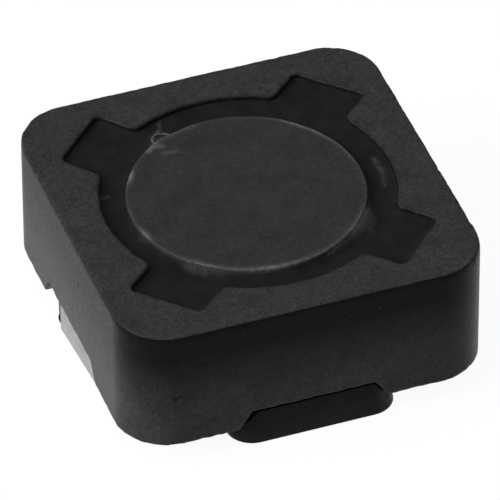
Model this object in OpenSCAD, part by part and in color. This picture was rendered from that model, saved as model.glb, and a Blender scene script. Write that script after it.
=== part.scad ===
// Shielded surface-mount power inductor.
// A wound ferrite drum stands in the bore of a square ferrite ring. Both are carried by a moulded
// base whose four tabs key into notches in the ring's lower edge. Two of the tabs hold the folded
// terminals, and a black adhesive fills the gap round the drum and the four glue pockets.
// Lengths are in millimetres. Z = 0 is the plane of the solder pads.

/* [Shield ring] */
// Width and depth of the square shield
shield_w = 12.5; // [12.1:0.1:13.1]
// Height of the shield
shield_h = 4.52; // [4.12:0.1:6.02]
// Thickness of the shield's walls at the middle of each side
wall_t = 1.39; // [1.19:0.05:1.59]
// Radius of the four upright corners
corner_r = 1.8; // [1.2:0.1:2.4]
// Width of each glue pocket
pocket_w = 2.55; // [1.95:0.1:2.75]
// How far each glue pocket reaches past the bore
pocket_depth = 1.26; // [0.96:0.05:1.36]
// Radius in the outer corners of a pocket
pocket_r = 0.2; // [0.1:0.05:0.4]
// Radius on the edges where a pocket opens into the bore
mouth_r = 0.3; // [0.1:0.05:0.4]
// Width of each side notch at the lower edge
notch_w = 5.15; // [4.75:0.1:5.45]
// Height of each side notch
notch_h = 0.65; // [0.45:0.05:0.85]
// Slope of the notch ends from the horizontal
notch_angle = 55; // [45:5:80]

/* [Drum core] */
// Radial air gap between the drum's flanges and the bore
core_gap = 0.91; // [0.71:0.05:1.01]
// Thickness of each flange
flange_t = 0.9; // [0.7:0.05:1.1]
// Chamfer on the rims of the flanges
rim_chamfer = 0.1; // [0.05:0.01:0.15]
// How far the drum sits off the shield's centre along X
drum_shift_x = -0.1; // [-0.12:0.02:0.12]
// How far the drum sits off the shield's centre along Y
drum_shift_y = -0.07; // [-0.12:0.01:0.12]
// How far inside the rim the wire passes the lower flange
lead_inset = 0.25; // [0.2:0.05:0.35]
// Room beside the wire in the two slots of the lower flange
slot_side = 0.11; // [0.08:0.01:0.2]
// Room behind the wire in those slots
slot_back = 0.25; // [0.25:0.05:0.35]

/* [Winding] */
// Number of layers, which with the wire sets how thick the drum's post is
layers = 4; // [4, 6]
// Diameter of the enamelled wire
wire_d = 0.4; // [0.3:0.02:0.42]
// Room between the outermost layer and the edge of the flanges
winding_room = 0.21; // [0.2:0.01:0.4]
// Room between neighbouring turns
wire_gap = 0.02; // [0.01:0.01:0.05]
// Centreline radius of the bends where the wire leaves the winding
bend_r = 0.5; // [0.45:0.05:0.6]

/* [Terminal base] */
// Thickness of the plate that carries both cores
plate_t = 0.45; // [0.35:0.05:0.7]
// How far the plate reaches under the ring and past the pockets
plate_lap = 0.44; // [0.3:0.02:0.6]
// Height of the feet under the plate
foot_h = 0.35; // [0.3:0.05:0.6]
// Width of each tab
tab_w = 5.75; // [5.35:0.1:6.05]
// Plan radius of the outer corners of a tab
tab_r = 0.9; // [0.6:0.05:1]
// How far the faces of the two plain tabs lie inside the shield's sides
tab_inset = 0.09; // [0.05:0.01:0.14]
// Clearance round a tab's key in its notch
key_gap = 0.07; // [0.04:0.01:0.12]
// How far each key reaches into the bore
key_reach = 0.3; // [0.1:0.05:0.4]
// Room round the wire in the holes of the plate
hole_room = 0.2; // [0.15:0.05:0.3]
// Thickness of the bond under the drum
bond_t = 0.05; // [0.03:0.01:0.1]
// Room from that bond's edge to the wire slots
bond_room = 0.1; // [0.05:0.05:0.4]

/* [Terminals] */
// Thickness of the terminal strip
strip_t = 0.15; // [0.12:0.01:0.18]
// Width of the terminals
terminal_w = 3.5; // [3.1:0.1:3.9]
// How far the outer walls lie inside the shield's sides
terminal_inset = 0.18; // [0.1:0.01:0.25]
// How far the outer wall ends below the top of the key behind it
wall_drop = 0.18; // [0.1:0.02:0.5]
// How far the pads stand below the plastic
standoff = 0.05; // [0.02:0.01:0.1]
// Inner radius of the fold between wall and pad
fold_r = 0.1; // [0.05:0.01:0.15]
// Width of the tongue that takes the wire
tongue_w = 1.5; // [1.3:0.1:2.5]
// How far the tongue reaches past the solder
tongue_rim = 0.05; // [0.02:0.01:0.15]
// Room between the wire and the notch in the tongue
tongue_room = 0.1; // [0.06:0.01:0.15]
// Clearance beside a pad in its recess under the base
recess_gap = 0.03; // [0.01:0.01:0.06]

/* [Joints and adhesive] */
// Radius of the solder under the tongue
solder_r = 0.55; // [0.45:0.05:0.6]
// Room between the solder and the step in the strip
solder_gap = 0.01; // [0.01:0.01:0.1]
// Height of the solder under the tongue
solder_h = 0.18; // [0.12:0.02:0.2]
// How far the wire's end stands out under the tongue
wire_end = 0.1; // [0.04:0.02:0.1]
// How far the adhesive lies below the top of the cores
fill_drop = 0.2; // [0.15:0.01:0.3]
// Depth of the adhesive
fill_t = 0.6; // [0.4:0.05:0.7]

/* [Hidden] */

$fn = 96;
eps = 0.01;

half_w = shield_w / 2;
bore_r = half_w - wall_t;
flange_r = bore_r - core_gap;
pocket_reach = bore_r + pocket_depth;

// Heights, from the pads up
foot_z = standoff;
plate_z = foot_z + foot_h;
shield_z = plate_z + plate_t;
top_z = shield_z + shield_h;
drum_z = shield_z + bond_t;
drum_h = top_z - drum_z;
window_z0 = drum_z + flange_t;
window_z1 = top_z - flange_t;
tongue_z = plate_z - strip_t;

tab_face = half_w - tab_inset;
wall_face = half_w - terminal_inset;
strip_face = wall_face - strip_t;
wall_h = shield_z + notch_h - key_gap - wall_drop;
key_inner = bore_r - key_reach;

wire_r = wire_d / 2;
lead_r = flange_r - lead_inset;
slot_inner = lead_r - wire_r - slot_back;

// The strip's step up from the pad to the tongue is a bend of 45 degrees, and back. It starts where
// it clears the solder, and the pad takes the rest of the way to the wall.
step_x = lead_r + solder_r + solder_gap + tongue_z;
step_lead = strip_t * tan(45 / 2);
pad_inner = step_x + step_lead;
tongue_inner = lead_r - solder_r - tongue_rim;
drum_shift = [drum_shift_x, drum_shift_y, 0];

// Winding layout: turn_step is the angle between rings along the wire
ring_sides = 8;
turn_step = 20;
cross_steps = 3;
min_pitch = wire_d + wire_gap;
chord = cos(turn_step / 2);
layer_step = min_pitch / chord;
first_r = flange_r - winding_room - wire_r - (layers - 1) * layer_step;
post_r = first_r * chord - wire_r - wire_gap;
high_z = window_z1 - wire_r - wire_gap;
low_z = window_z0 + wire_r + wire_gap;
start_angle = 180 + turn_step;
exit_angle = 360 - turn_step;
last_start = start_angle + (layers - 1) * cross_steps * turn_step;
last_part = ((exit_angle - last_start) % 360 + 360) % 360 / 360;

// How strongly the free bends hold their end directions, and how far the wire falls in the last
bend_pull = 0.9 * bend_r;
knee_pull = 1.2 * bend_r;
exit_drop = 1.5 * bend_r;

// Lowest height of the wire in a layer: the first lies on the flange, the last stays above its own
// bend, and those between pass over the lead that comes in under them
function floor_z(layer) =
    layer == 0 ? low_z : layer == layers - 1 ? low_z + bend_r : low_z + min_pitch;

function fit_turns(layer) =
    let (most = (high_z - floor_z(layer)) / min_pitch)
    layer == layers - 1 ? floor(most - last_part) + last_part : floor(most);

function layer_r(layer) = first_r + layer * layer_step;

function rings_in(layer) = round(fit_turns(layer) * 360 / turn_step);

// Rings of the wire before a layer starts, which also give its starting angle
function rings_before(layer) =
    layer == 0 ? 0 : rings_before(layer - 1) + rings_in(layer - 1) + cross_steps;

function on_layer(layer, ring) =
    let (rising = layer % 2 == 0,
        part = ring / rings_in(layer),
        up = rising ? part : 1 - part,
        angle = start_angle + (rings_before(layer) + ring) * turn_step)
    [layer_r(layer) * cos(angle), layer_r(layer) * sin(angle),
        floor_z(layer) + up * (high_z - floor_z(layer))];

// The steps where the wire climbs from the end of one layer to the start of the next
function crossing(layer) = [for (step = [1:cross_steps - 1])
    let (part = step / cross_steps,
        angle = start_angle + (rings_before(layer) + rings_in(layer) + step) * turn_step,
        r = layer_r(layer) + part * layer_step)
    [r * cos(angle), r * sin(angle), on_layer(layer, rings_in(layer)).z]];

function layer_path(layer) = concat(
    [for (ring = [0:rings_in(layer)]) on_layer(layer, ring)],
    layer < layers - 1 ? crossing(layer) : []);

// The point at part t of a smooth curve from a to d that leaves toward b and arrives from c
function bezier(a, b, c, d, t) =
    let (u = 1 - t)
    u * u * u * a + 3 * u * u * t * b + 3 * u * t * t * c + t * t * t * d;

function heading(angle) = [-sin(angle), cos(angle), 0];

// Up through the slot, in along the flange and round into the first turn
function lead_in() =
    let (start = on_layer(0, 0),
        knee = [-(lead_r - bend_r), 0, low_z])
    concat(
        [for (turn = [0:15:90])
            [-(lead_r - bend_r) - bend_r * cos(turn), 0, low_z - bend_r + bend_r * sin(turn)]],
        [for (i = [1:5])
            bezier(knee, knee + [knee_pull, 0, 0], start - bend_pull * heading(start_angle),
                start, i / 6)]);

// Off the last turn and down through the other slot
function lead_out() =
    let (last = on_layer(layers - 1, rings_in(layers - 1)),
        drop = [lead_r, 0, last.z - exit_drop])
    [for (i = [1:7])
        bezier(last, last + bend_pull * heading(exit_angle), drop + [0, 0, bend_pull],
            drop, i / 7)];

// The end below the drum lies in the base's own frame, up to the middle of the plate
function tail(side) = [
    [side * lead_r, 0, tongue_z - wire_end],
    [side * lead_r, 0, plate_z + plate_t / 2]];

function from_drum(points) = [for (p = points) p + drum_shift];

wire_path = concat(
    tail(-1),
    from_drum(lead_in()),
    from_drum([for (layer = [0:layers - 1]) each layer_path(layer)]),
    from_drum(lead_out()),
    [tail(1)[1], tail(1)[0]]);

function unit(v) = v / norm(v);

function path_heading(path, i) =
    unit(path[min(i + 1, len(path) - 1)] - path[max(i - 1, 0)]);

function square_to(v, along) = unit(v - (v * along) * along);

// Side directions that turn as little as they can along the path
function path_sides(path) = [
    for (i = 0, side = square_to([0, 1, 0], path_heading(path, 0));
        i < len(path);
        i = i + 1,
        side = i < len(path) ? square_to(side, path_heading(path, i)) : side)
    side];

// A round bar of radius r swept along a path of points
module swept_bar(path, r, sides) {
    side = path_sides(path);
    points = [for (i = [0:len(path) - 1])
        let (other = cross(path_heading(path, i), side[i]))
        for (k = [0:sides - 1])
            path[i] + r * (cos(360 * k / sides) * side[i] + sin(360 * k / sides) * other)];
    last = (len(path) - 1) * sides;
    walls = [for (i = [0:len(path) - 2])
        for (k = [0:sides - 1])
            let (a = i * sides + k, b = i * sides + (k + 1) % sides)
            each [[a, a + sides, b], [b, a + sides, b + sides]]];
    caps = [[for (k = [0:sides - 1]) k], [for (k = [sides - 1:-1:0]) last + k]];
    polyhedron(points, concat(walls, caps));
}

// A square with rounded corners, centred
module rounded_square(size, r) {
    square([size, size - 2 * r], center = true);
    square([size - 2 * r, size], center = true);
    for (x = [-1, 1], y = [-1, 1])
        translate([x * (size / 2 - r), y * (size / 2 - r)])
            circle(r);
}

// One glue pocket along +Y, from the centre of the bore out to its flat end
module pocket_outline() {
    half = pocket_w / 2;
    translate([-half, 0])
        square([pocket_w, pocket_reach - pocket_r]);
    translate([-half + pocket_r, 0])
        square([pocket_w - 2 * pocket_r, pocket_reach]);
    for (side = [-1, 1])
        translate([side * (half - pocket_r), pocket_reach - pocket_r])
            circle(pocket_r);
}

// What a pocket's rounded mouth leaves open on one side, inside of its arc
module mouth_outline() {
    x = pocket_w / 2 + mouth_r;
    y = sqrt(pow(bore_r + mouth_r, 2) - x * x);
    touch = bore_r / (bore_r + mouth_r);
    difference() {
        polygon([[0, 0], [pocket_w / 2, y], [x, y], [x * touch, y * touch]]);
        translate([x, y])
            circle(mouth_r);
    }
}

// Bore and pockets together, up from Z = 0
module bore_space(height) {
    cylinder(h = height, r = bore_r);
    for (corner = [45:90:315])
        rotate(corner) {
            linear_extrude(height)
                pocket_outline();
            for (side = [0, 1])
                mirror([side, 0, 0])
                    linear_extrude(height)
                        mouth_outline();
        }
}

// Outline of a notch, or of the key that fits it with a gap, standing on the shield's lower plane
module notch_outline(gap) {
    foot = notch_w / 2 - gap / sin(notch_angle);
    top = foot - (notch_h - gap) / tan(notch_angle);
    polygon([[-foot, 0], [foot, 0], [top, notch_h - gap], [-top, notch_h - gap]]);
}

module shield_core() {
    color([0.23, 0.24, 0.25])
        translate([0, 0, shield_z])
            difference() {
                linear_extrude(shield_h)
                    rounded_square(shield_w, corner_r);
                translate([0, 0, -eps])
                    bore_space(shield_h + 2 * eps);
                for (side = [0:90:270])
                    rotate(side)
                        translate([0, 0, -eps])
                            side_notch();
            }
}

// The notch in the front wall, cut from the bore out past the shield's side
module side_notch() {
    rotate([90, 0, 0])
        linear_extrude(shield_w)
            notch_outline(0);
}

module drum_core() {
    color([0.27, 0.28, 0.29])
        translate(drum_shift)
            difference() {
                translate([0, 0, drum_z])
                    rotate_extrude()
                        drum_profile();
                for (side = [0, 180])
                    rotate(side)
                        translate([slot_inner, -wire_r - slot_side, drum_z - eps])
                            cube([flange_r, wire_d + 2 * slot_side, flange_t + 2 * eps]);
            }
}

// Half section of the drum: two flanges with chamfered rims on one post
module drum_profile() {
    c = rim_chamfer;
    rim = flange_r;
    low = flange_t;
    high = drum_h - flange_t;
    polygon([
        [0, 0], [rim - c, 0], [rim, c], [rim, low - c], [rim - c, low],
        [post_r, low], [post_r, high],
        [rim - c, high], [rim, high + c], [rim, drum_h - c], [rim - c, drum_h], [0, drum_h]]);
}

// One wire: up from the left terminal, round the post in layers, and down to the right terminal
module coil_winding() {
    color([0.72, 0.36, 0.14])
        swept_bar(wire_path, wire_r, ring_sides);
}

module terminal_base() {
    color([0.12, 0.12, 0.12])
        difference() {
            union() {
                base_plate();
                for (side = [0, 180])
                    rotate(side) {
                        tab(tab_face);
                        rotate(90)
                            tab(strip_face);
                    }
            }
            for (side = [0, 180])
                rotate(side) {
                    pad_recess();
                    translate([lead_r, 0, 0])
                        cylinder(h = shield_z + eps, r = wire_r + hole_room);
                }
        }
}

// A square plate with its corners cut where the glue pockets end
module base_plate() {
    translate([0, 0, plate_z])
        linear_extrude(plate_t)
            intersection() {
                square(2 * (bore_r + plate_lap), center = true);
                rotate(45)
                    square(2 * (pocket_reach + plate_lap), center = true);
            }
}

// A tab to the front: a foot under the shield and a key in its notch, with rounded outer corners.
// The two that carry terminals stop short by the thickness of the strip.
module tab(face) {
    intersection() {
        union() {
            translate([-tab_w / 2, -face, foot_z])
                cube([tab_w, face - pad_inner, shield_z - foot_z]);
            translate([0, -key_inner, shield_z])
                rotate([90, 0, 0])
                    linear_extrude(face - key_inner)
                        notch_outline(key_gap);
        }
        linear_extrude(top_z)
            tab_plan(face);
    }
}

module tab_plan(face) {
    straight = tab_w / 2 - tab_r;
    translate([-tab_w / 2, tab_r - face])
        square([tab_w, face - tab_r]);
    translate([-straight, -face])
        square([2 * straight, face]);
    for (side = [-1, 1])
        translate([side * straight, tab_r - face])
            circle(tab_r);
}

// Turns an outline in X and Z into a bar of the given width along Y
module across(width) {
    translate([0, width / 2, 0])
        rotate([90, 0, 0])
            linear_extrude(width)
                children();
}

// What the right tab gives up to its terminal: all that lies outside the fold's inner faces
module pad_recess() {
    across(terminal_w + 2 * recess_gap)
        difference() {
            translate([pad_inner - eps, -eps])
                square([half_w - pad_inner, strip_t + fold_r + eps]);
            strip_inside();
        }
}

// Everything inside the strip's fold
module strip_inside() {
    translate([0, strip_t])
        square([strip_face - fold_r, 2 * fold_r]);
    translate([strip_face - fold_r, strip_t + fold_r])
        circle(fold_r);
    translate([0, strip_t + fold_r])
        square([strip_face, fold_r]);
}

// Wall and pad of the right terminal, with the fold between them
module strip_outline() {
    outer_r = fold_r + strip_t;
    difference() {
        union() {
            translate([pad_inner, 0])
                square([wall_face - outer_r - pad_inner, strip_t]);
            translate([strip_face, outer_r])
                square([strip_t, wall_h - outer_r]);
            intersection() {
                translate([wall_face - outer_r, outer_r])
                    circle(outer_r);
                translate([wall_face - outer_r, 0])
                    square(outer_r);
            }
        }
        translate([wall_face - outer_r, outer_r])
            circle(fold_r);
    }
}

// Step and tongue of the right terminal, flush with the pad's underside at the outer end
module tongue_outline() {
    rise = tongue_z;
    polygon([
        [pad_inner, 0], [step_x, 0], [step_x - rise, rise], [tongue_inner, rise],
        [tongue_inner, rise + strip_t], [step_x - rise + step_lead, rise + strip_t],
        [step_x + step_lead, strip_t], [pad_inner, strip_t]]);
}

module terminal() {
    notch_r = wire_r + tongue_room;
    across(terminal_w)
        strip_outline();
    difference() {
        across(tongue_w)
            tongue_outline();
        translate([lead_r, 0, 0])
            cylinder(h = shield_z, r = notch_r);
        translate([tongue_inner - eps, -notch_r, 0])
            cube([lead_r - tongue_inner + eps, 2 * notch_r, shield_z]);
    }
}

module terminal_left() {
    color([0.72, 0.72, 0.7])
        rotate(180)
            terminal();
}

module terminal_right() {
    color([0.72, 0.72, 0.7])
        terminal();
}

// Solder round the wire's end: a shallow cap under the tongue and a filling in its notch
module solder_joint() {
    cap_r = (solder_r * solder_r + solder_h * solder_h) / (2 * solder_h);
    difference() {
        translate([lead_r, 0, tongue_z])
            union() {
                intersection() {
                    translate([0, 0, cap_r - solder_h])
                        sphere(cap_r);
                    translate([0, 0, -solder_h - eps])
                        cylinder(h = solder_h + eps, r = 2 * solder_r);
                }
                cylinder(h = strip_t, r = wire_r + tongue_room);
            }
        translate([lead_r, 0, tongue_z - wire_end - eps])
            cylinder(h = shield_z, r = wire_r + eps);
    }
}

module solder_left() {
    color([0.8, 0.8, 0.8])
        rotate(180)
            solder_joint();
}

module solder_right() {
    color([0.8, 0.8, 0.8])
        solder_joint();
}

// The ring of adhesive round the drum's upper flange, with an arm in each pocket
module core_adhesive() {
    color([0.13, 0.13, 0.14])
        translate([0, 0, top_z - fill_drop - fill_t])
            difference() {
                bore_space(fill_t);
                translate([drum_shift_x, drum_shift_y, -eps])
                    cylinder(h = fill_t + 2 * eps, r = flange_r);
            }
}

// The film that holds the drum on the base
module base_adhesive() {
    color([0.2, 0.2, 0.2])
        translate([drum_shift_x, drum_shift_y, shield_z])
            cylinder(h = bond_t, r = slot_inner - bond_room);
}

shield_core();
drum_core();
coil_winding();
terminal_base();
terminal_left();
terminal_right();
solder_left();
solder_right();
core_adhesive();
base_adhesive();
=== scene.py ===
import math
import random

import bmesh
import bpy
import numpy as np
from mathutils import Matrix, Vector, geometry, noise


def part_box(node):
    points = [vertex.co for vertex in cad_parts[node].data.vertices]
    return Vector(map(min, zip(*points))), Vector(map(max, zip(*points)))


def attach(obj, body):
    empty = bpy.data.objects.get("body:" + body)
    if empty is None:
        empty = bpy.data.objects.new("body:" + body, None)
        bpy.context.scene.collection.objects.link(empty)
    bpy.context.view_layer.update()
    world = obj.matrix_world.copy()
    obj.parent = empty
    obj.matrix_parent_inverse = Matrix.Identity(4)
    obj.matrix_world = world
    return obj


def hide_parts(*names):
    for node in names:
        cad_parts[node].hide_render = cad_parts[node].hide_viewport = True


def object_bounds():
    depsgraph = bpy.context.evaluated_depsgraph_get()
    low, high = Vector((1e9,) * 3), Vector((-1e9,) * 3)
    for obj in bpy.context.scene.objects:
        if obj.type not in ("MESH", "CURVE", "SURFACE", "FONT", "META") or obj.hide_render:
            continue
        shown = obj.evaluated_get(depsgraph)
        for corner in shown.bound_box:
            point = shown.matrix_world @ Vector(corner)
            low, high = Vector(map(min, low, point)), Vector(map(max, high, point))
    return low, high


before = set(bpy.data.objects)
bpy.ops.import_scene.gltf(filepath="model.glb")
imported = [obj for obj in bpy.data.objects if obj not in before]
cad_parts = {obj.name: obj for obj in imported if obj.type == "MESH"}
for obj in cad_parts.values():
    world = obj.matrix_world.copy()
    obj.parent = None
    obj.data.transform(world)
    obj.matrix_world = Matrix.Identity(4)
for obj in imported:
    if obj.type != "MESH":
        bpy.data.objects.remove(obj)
CAD_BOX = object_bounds()

bl_info = {
    "name": "Shielded Inductor",
    "version": (1, 0, 0),
    "blender": (4, 5, 0),
    "location": "View3D > Sidebar > Inductor",
    "description": "Finishes a shielded surface-mount inductor on its packed frame",
    "category": "Object",
}

MM = 0.001
SHIELD_LOW, SHIELD_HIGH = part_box("shield_core")
DRUM_LOW, DRUM_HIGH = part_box("drum_core")
FILL_LOW, FILL_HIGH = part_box("core_adhesive")


# Sizes and colours that a user would change

def length(name, description, millimetres):
    """A length property, given in millimetres and held in metres."""
    return bpy.props.FloatProperty(
        name=name,
        description=description,
        default=millimetres * MM,
        min=0.0,
        precision=5,
        subtype="DISTANCE",
        unit="LENGTH",
    )


def share(name, description, default, top=1.0):
    """A plain number from 0 to top."""
    return bpy.props.FloatProperty(
        name=name, description=description, default=default, min=0.0, max=top, subtype="FACTOR"
    )


def tone(name, description, default):
    """A surface colour in linear light."""
    return bpy.props.FloatVectorProperty(
        name=name, description=description, default=default, size=3, min=0.0, max=1.0, subtype="COLOR"
    )


def angle(name, description, degrees):
    return bpy.props.FloatProperty(
        name=name, description=description, default=math.radians(degrees), subtype="ANGLE", unit="ROTATION"
    )


class RingSettings(bpy.types.PropertyGroup):
    corner_radius: length("Corner radius", "Plan radius of the ring's four corners", 1.8)
    wall: length("Wall", "Thickness of the ring at the middle of a side", 1.39)
    pocket_width: length("Pocket width", "Width of each glue pocket", 2.55)
    pocket_depth: length("Pocket depth", "How far a pocket reaches past the bore", 1.26)
    pocket_radius: length("Pocket radius", "Radius in a pocket's outer corners", 0.2)
    mouth_radius: length("Mouth radius", "Radius where a pocket opens into the bore", 0.38)
    notch_width: length("Notch width", "Width of a side notch at the lower edge", 5.15)
    notch_height: length("Notch height", "Height of a side notch", 0.65)
    notch_slope: angle("Notch slope", "Slope of the notch ends from the horizontal", 55.0)
    edge_radius: length("Edge radius", "How far the upper outer edge is worn back", 0.055)
    bore_radius: length("Bore edge radius", "Radius on the upper edge of the bore", 0.10)
    low_radius: length("Lower edge radius", "Radius on the lower edges", 0.085)
    unevenness: length("Unevenness", "Height of the ferrite's surface waves", 0.004)
    # The upper face's colour is a little cooler than the walls': a painted tint of the cool light from above.
    colour: tone("Ferrite", "Colour of the ground upper face", (0.0318, 0.0330, 0.0340))
    wall_colour: tone("Wall", "Colour of the pressed walls near their foot", (0.0318, 0.0318, 0.0305))
    # Painted shade: the walls are painted from the wall colour at their foot to this far darker colour toward
    # their top.
    top_shade_colour: tone("Skin", "Colour of the pressed walls near their top", (0.0030, 0.0030, 0.0028))


class DrumSettings(bpy.types.PropertyGroup):
    flange_thickness: length("Flange thickness", "Thickness of both flanges", 0.9)
    post_radius: length("Post radius", "Radius of the winding post", 2.01)
    slot_width: length("Slot width", "Width of the wire slots in the lower flange", 0.62)
    slot_inner: length("Slot reach", "Distance from the drum's axis to a slot's end", 3.25)
    rim_radius: length("Rim radius", "How far the flange rims are rounded", 0.1)
    colour: tone("Ferrite", "Colour of the drum's ferrite", (0.0290, 0.0300, 0.0308))
    worn_colour: tone("Worn rim", "Colour where the rim is worn", (0.150, 0.155, 0.152))


class AdhesiveSettings(bpy.types.PropertyGroup):
    climb: length("Climb", "How far the adhesive climbs the walls", 0.07)
    climb_reach: length("Climb reach", "How far from a wall the adhesive starts to climb", 0.12)
    unevenness: length("Unevenness", "Height of the slow waves in its surface", 0.02)
    colour: tone("Adhesive", "Colour of the cured adhesive", (0.0118, 0.0117, 0.0116))
    trace_colour: tone("Traces", "Colour of thin dried adhesive", (0.120, 0.120, 0.113))
    bank_colour: tone("Banks", "Colour of the adhesive banked up against the drum", (0.034, 0.034, 0.033))


class BaseSettings(bpy.types.PropertyGroup):
    edge_radius: length("Edge radius", "Radius on the moulded edges", 0.04)
    colour: tone("Plastic", "Colour of the moulded base", (0.0085, 0.0083, 0.0078))


class MetalSettings(bpy.types.PropertyGroup):
    tin: tone("Tin", "Colour of the tinned strip", (0.40, 0.41, 0.39))
    solder: tone("Solder", "Colour of the solder", (0.66, 0.66, 0.65))
    wire: tone("Wire", "Colour of the enamelled copper wire", (0.55, 0.17, 0.05))


class StageSettings(bpy.types.PropertyGroup):
    azimuth: angle("Azimuth", "Camera's turn round the object", -19.702)
    elevation: angle("Elevation", "Camera's height above the horizon", 40.048)
    roll: angle("Roll", "Camera's turn about its own axis", -0.248)
    distance: length("Distance", "Camera's distance from its target", 251.565)
    target: bpy.props.FloatVectorProperty(
        name="Target",
        description="Point that the camera looks at",
        default=(-0.063 * MM, -0.278 * MM, 3.05 * MM),
        size=3,
        subtype="XYZ",
        unit="LENGTH",
    )
    lens: bpy.props.FloatProperty(
        name="Lens", description="Focal length in millimetres", default=552.4, min=1.0, max=2000.0
    )
    floor_size: length("Floor size", "Width of the floor", 700.0)
    sky: share("Sky", "Strength of the even light from all round", 0.38, 4.0)
    key: share("Key", "Strength of the soft light from the left", 2.4, 10.0)


# Outlines in the plane, as arrays of points in metres, running anticlockwise

def raised(flat, height):
    """Points of the plane at a height, or each at its own."""
    return np.column_stack([flat, np.broadcast_to(height, (len(flat),))])


def arc(centre, radius, start, end, step=6.0):
    """Points along an arc from one angle to another, in degrees."""
    count = max(2, int(math.ceil(abs(end - start) / step)) + 1)
    turns = np.radians(np.linspace(start, end, count))
    return np.stack([centre[0] + radius * np.cos(turns), centre[1] + radius * np.sin(turns)], axis=1)


def turned(points, degrees):
    c, s = math.cos(math.radians(degrees)), math.sin(math.radians(degrees))
    return points @ np.array([[c, s], [-s, c]])


def rounded_square(half, radius):
    corner = arc((half - radius, half - radius), radius, 0.0, 90.0)
    return np.concatenate([turned(corner, quarter) for quarter in (0, 90, 180, 270)])


# How far each pocket's end lies off its place, sideways and outward in mm, from the right rear pocket on
POCKET_SHIFTS = ((0.05, 0.03), (0.10, 0.10), (0.06, 0.0), (0.0, 0.04))


def bore_outline(ring):
    """The bore with its four glue pockets, whose ends lie a little off their places."""
    bore = SHIELD_HIGH.x - ring.wall
    half, corner, mouth = ring.pocket_width / 2, ring.pocket_radius, ring.mouth_radius
    reach = bore + ring.pocket_depth
    mouth_x = half + mouth
    mouth_y = math.sqrt((bore + mouth) ** 2 - mouth_x ** 2)
    lean = math.degrees(math.atan2(mouth_x, mouth_y))
    wall = arc((0.0, 0.0), bore, 90.0 + lean, 180.0 - lean, 2.0)[1:-1]
    outline = []
    for turn, shift in zip((0, 90, 180, 270), POCKET_SHIFTS):
        across, beyond = shift[0] * MM, shift[1] * MM
        quarter = [
            arc((mouth_x, mouth_y), mouth, 270.0 - lean, 180.0),
            arc((half - corner + across, reach - corner + beyond), corner, 0.0, 90.0),
            arc((corner - half + across, reach - corner + beyond), corner, 90.0, 180.0),
            arc((-mouth_x, mouth_y), mouth, 0.0, lean - 90.0),
            wall,
        ]
        outline.append(turned(np.concatenate(quarter), turn - 45))
    return np.concatenate(outline)


def resampled(outline, step):
    """A closed outline with its points about one step apart."""
    closed = np.vstack([outline, outline[:1]])
    gaps = np.linalg.norm(np.diff(closed, axis=0), axis=1)
    keep = np.concatenate([[True], gaps > 1e-9])
    closed, along = closed[keep], np.concatenate([[0.0], np.cumsum(gaps[gaps > 1e-9])])
    count = int(round(along[-1] / step))
    at = np.arange(count) * along[-1] / count
    return np.stack([np.interp(at, along, closed[:, axis]) for axis in (0, 1)], axis=1)


def outward(outline):
    """Unit vectors out of an anticlockwise outline, at its points."""
    ahead = np.roll(outline, -1, axis=0) - np.roll(outline, 1, axis=0)
    normal = np.stack([ahead[:, 1], -ahead[:, 0]], axis=1)
    return normal / np.linalg.norm(normal, axis=1, keepdims=True)


def inside(points, outline):
    """Which points lie inside a closed outline."""
    found = np.zeros(len(points), bool)
    for (ax, ay), (bx, by) in zip(outline, np.roll(outline, -1, axis=0)):
        if ay != by:
            crosses = (ay > points[:, 1]) != (by > points[:, 1])
            found ^= crosses & (points[:, 0] < (bx - ax) * (points[:, 1] - ay) / (by - ay) + ax)
    return found


def clearance(points, outline):
    """Distance from each point to the nearest point of an outline."""
    nearest = np.full(len(points), np.inf)
    for corner in outline:
        nearest = np.minimum(nearest, np.hypot(points[:, 0] - corner[0], points[:, 1] - corner[1]))
    return nearest


def snapped(outline, offsets):
    """The outline with the point nearest to each notch's edge moved onto that edge, and those points'
    indices, side by side and offset by offset."""
    points, indices = outline.copy(), []
    for turn in (0, 90, 180, 270):
        for offset in offsets:
            spot = turned(np.array([[offset, -SHIELD_HIGH.x]]), turn)[0]
            nearest = int(np.argmin(np.hypot(*(points - spot).T)))
            points[nearest] = spot
            indices.append(nearest)
    return points, indices


def creases(outer, marks, inner, first, step):
    """Points along each notch's edges from the outer outline to just short of the inner one, with the
    edges that join them. The first point's index is given."""
    points, edges = [], []
    for number, mark in enumerate(marks):
        inward = turned(np.array([[0.0, step]]), 90 * (number // 4))[0]
        last, spot = mark, outer[mark] + inward
        while not inside(spot[None], inner)[0] and clearance(spot[None], inner)[0] > step / 2:
            edges.append((last, first + len(points)))
            last = first + len(points)
            points.append(spot)
            spot = spot + inward
    return np.array(points), edges


# Mesh building

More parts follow.
